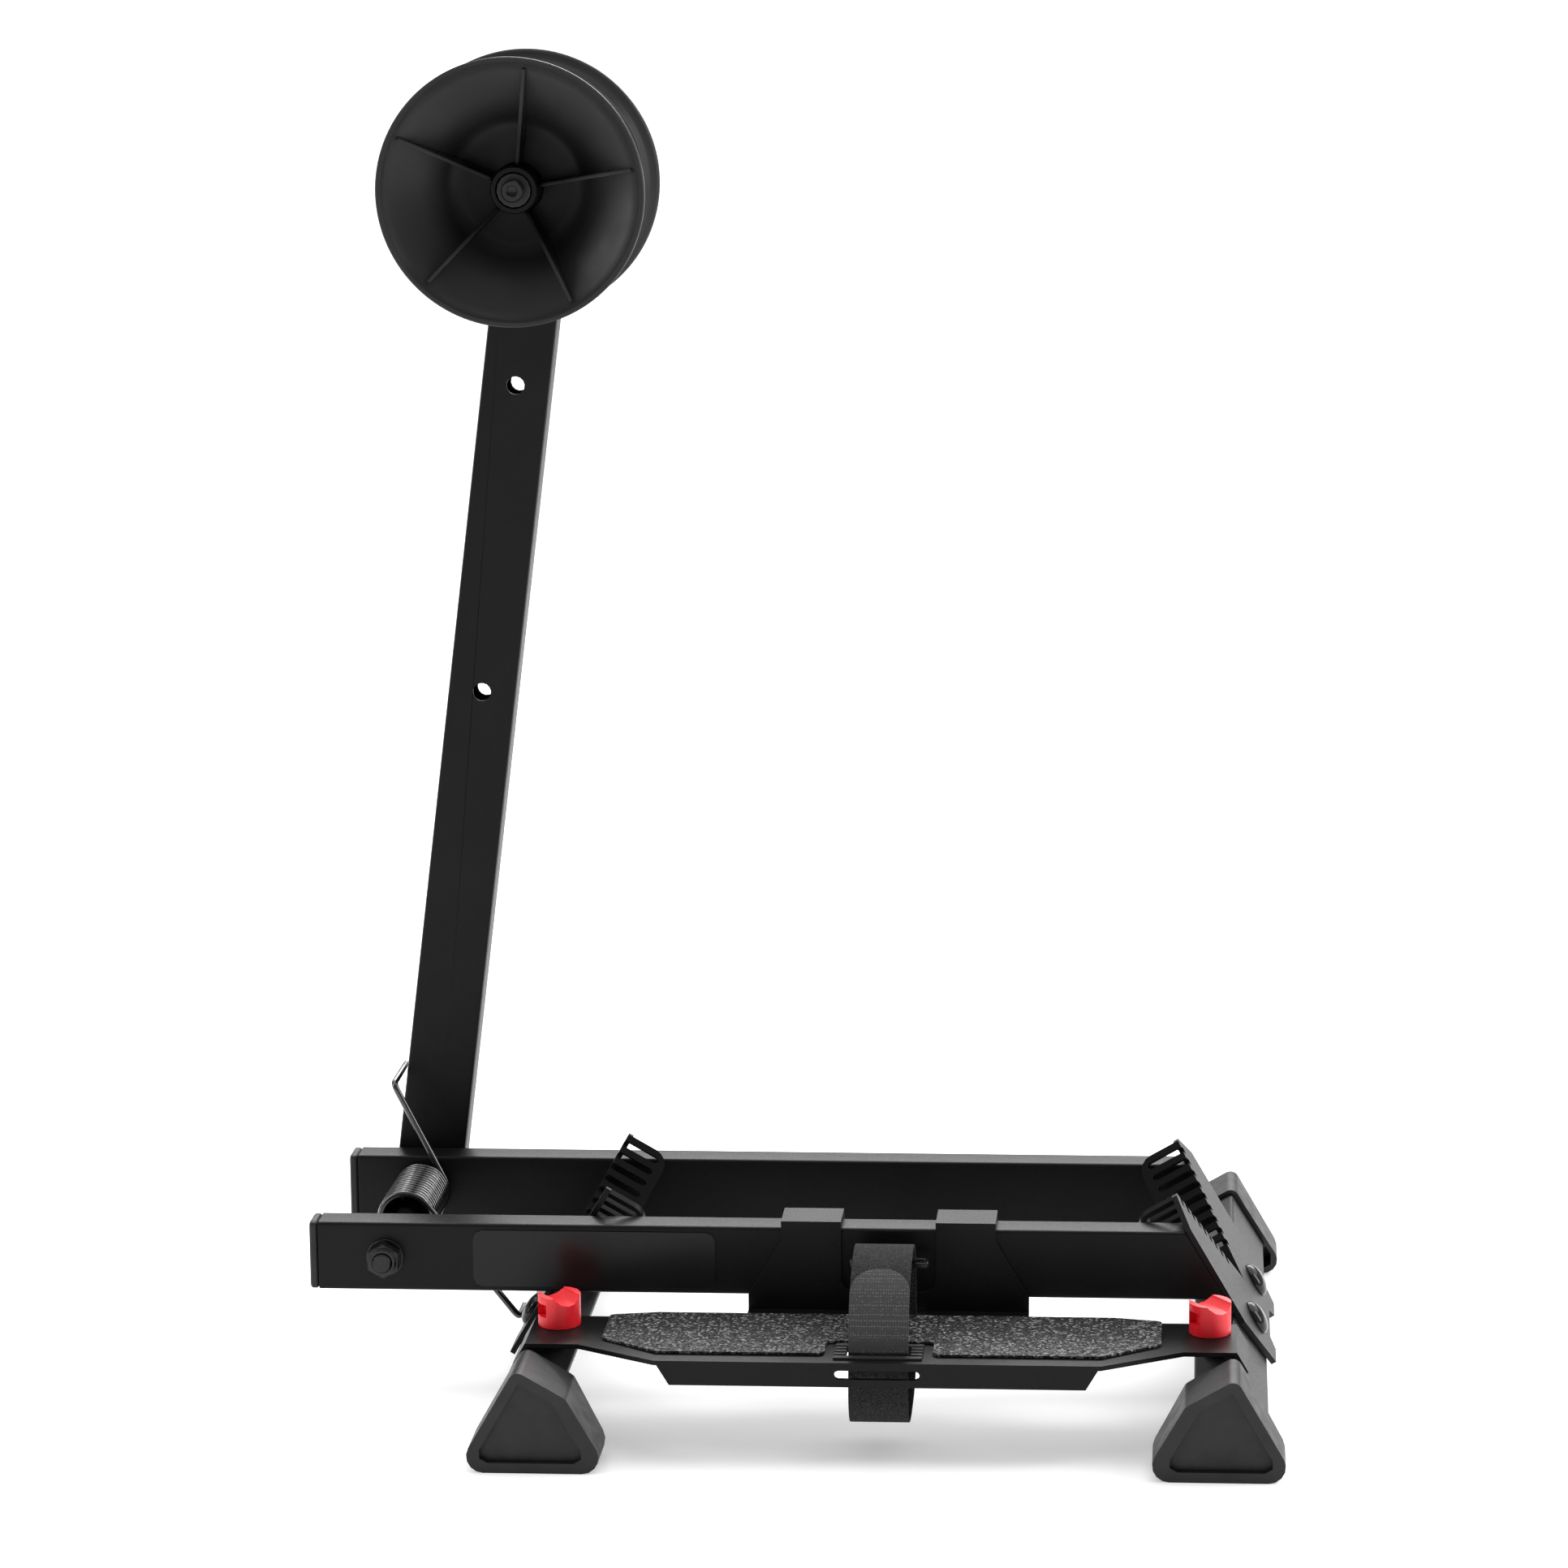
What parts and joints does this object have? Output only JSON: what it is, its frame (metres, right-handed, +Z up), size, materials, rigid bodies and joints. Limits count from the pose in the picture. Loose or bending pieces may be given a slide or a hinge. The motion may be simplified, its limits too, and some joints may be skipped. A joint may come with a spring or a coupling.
{
  "type": "bicycle floor storage stand",
  "caption": "Floor stand that holds a bicycle by one wheel in leaning V-notched cradles, with a sprung arm and grooved roller above and a strapped step plate on the near side.",
  "frame": {"origin": "on the floor, under the middle of the bounding box", "axes": "+X along the rails away from the arm's pivot, +Y from the step plate's side to the arm's side, +Z up"},
  "size_m": [0.5284, 0.375, 0.7246],
  "materials": {
    "black_paint": "satin black powder coat",
    "black_plastic": "moulded black plastic",
    "roller_plastic": "smooth moulded black plastic",
    "black_hardware": "black oxide",
    "spring_steel": "glossy black coated wire",
    "red_plastic": "moulded red plastic",
    "grip": "gritty anti-slip sheet",
    "webbing": "woven black hook-and-loop tape",
    "badge_film": "blank satin dark film"
  },
  "bodies": {
    "frame": {"near_rail": "black_paint", "far_rail": "black_paint", "near_rail_cap": "black_plastic", "far_rail_cap": "black_plastic", "left_cradle": "black_paint", "right_cradle": "black_paint", "left_leg": "black_paint", "right_leg": "black_paint", "left_near_foot": "black_plastic", "left_far_foot": "black_plastic", "right_near_foot": "black_plastic", "right_far_foot": "black_plastic", "left_near_leg_bolt": "black_hardware", "left_far_leg_bolt": "black_hardware", "right_near_leg_bolt": "black_hardware", "right_far_leg_bolt": "black_hardware", "left_near_leg_nut": "black_hardware", "left_far_leg_nut": "black_hardware", "right_near_leg_nut": "black_hardware", "right_far_leg_nut": "black_hardware", "pivot_bolt": "black_hardware", "near_washer": "black_hardware", "arm_spacer_washer": "black_hardware", "far_washer": "black_hardware", "spring_sleeve": "black_hardware", "pivot_nut": "black_hardware", "torsion_spring": "spring_steel", "step_plate": "black_paint", "bracket_rivet_1": "black_hardware", "bracket_rivet_2": "black_hardware", "hook_bracket": "black_paint", "grip_pad": "grip", "strap_grommet": "black_plastic", "strap": "webbing", "strap_ring": "black_hardware", "left_knob_stud": "black_hardware", "right_knob_stud": "black_hardware", "rail_badge": "badge_film"},
    "arm": {"arm_tube": "black_paint", "arm_top_cap": "black_plastic", "arm_bottom_cap": "black_plastic", "arm_bush": "black_hardware", "axle_bolt": "black_hardware", "axle_spacer": "black_hardware", "axle_washer": "black_hardware", "axle_nut": "black_hardware"},
    "roller": {"roller_near_half": "roller_plastic", "roller_far_half": "roller_plastic", "roller_near_bush": "black_plastic", "roller_far_bush": "black_plastic"},
    "left_knob_body": {"left_knob": "red_plastic"},
    "right_knob_body": {"right_knob": "red_plastic"}
  },
  "joints": [
    {"name": "arm_pivot", "type": "hinge", "parent": "frame", "child": "arm", "pos_m": [-0.22274, 0, 0.07935], "axis": [0, 1, 0], "range_deg": [-45, 82.7], "stiffness_Nm_per_rad": 2.8, "deforming": ["torsion_spring"]},
    {"name": "roller_spin", "type": "hinge", "parent": "arm", "child": "roller", "pos_m": [-0.14917, 0, 0.65366], "axis": [0, 1, 0], "continuous": true},
    {"name": "left_knob_turn", "type": "hinge", "parent": "frame", "child": "left_knob_body", "pos_m": [-0.12284, -0.11133, 0.065], "axis": [0, 0, 1], "continuous": true},
    {"name": "right_knob_turn", "type": "hinge", "parent": "frame", "child": "right_knob_body", "pos_m": [0.22456, -0.11133, 0.065], "axis": [0, 0, 1], "continuous": true}
  ]
}
